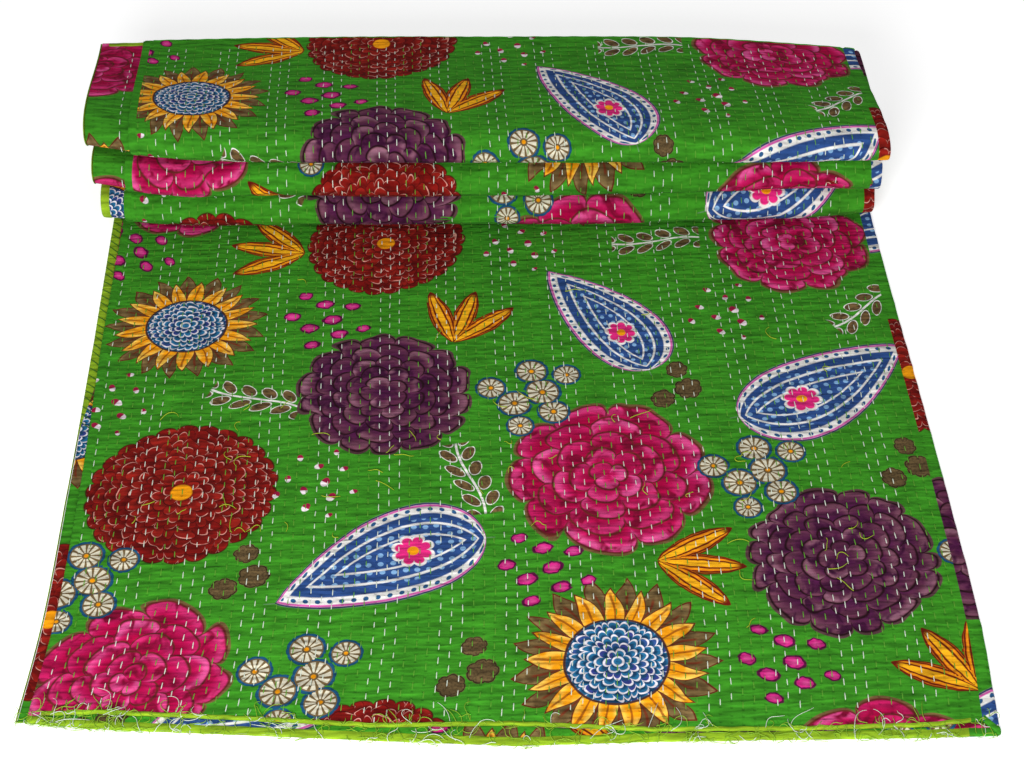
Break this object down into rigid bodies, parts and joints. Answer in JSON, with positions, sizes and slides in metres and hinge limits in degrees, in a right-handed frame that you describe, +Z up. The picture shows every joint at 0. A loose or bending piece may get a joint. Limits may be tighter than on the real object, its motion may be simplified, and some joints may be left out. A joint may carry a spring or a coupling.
{
  "type": "folded kantha quilt",
  "caption": "Floral kantha quilt folded in half along its length, laid flat at the front and pleated back and forth into a low stack at the back, with narrow lime edge bindings.",
  "frame": {"origin": "on the floor, under the centre of the folded quilt's bounding box", "axes": "+Z up, -Y towards the front hem of the flat part, +Y towards the pleated stack, +X towards the long fold"},
  "size_m": [1.1748, 1.232, 0.1716],
  "materials": {
    "main_print": "matt printed cotton, leaf green ground with large flowers",
    "second_print": "matt printed cotton, close mixed flowers",
    "lime_binding": "matt plain cotton strip",
    "leaf_green_binding": "matt plain cotton strip"
  },
  "bodies": {
    "root": {"quilt_panel_main": "main_print", "quilt_panel_second": "second_print", "binding_side_upper": "leaf_green_binding", "binding_side_lower": "lime_binding", "binding_front_upper": "lime_binding", "binding_front_lower": "lime_binding", "binding_back_upper": "lime_binding", "binding_back_lower": "lime_binding"}
  },
  "joints": []
}
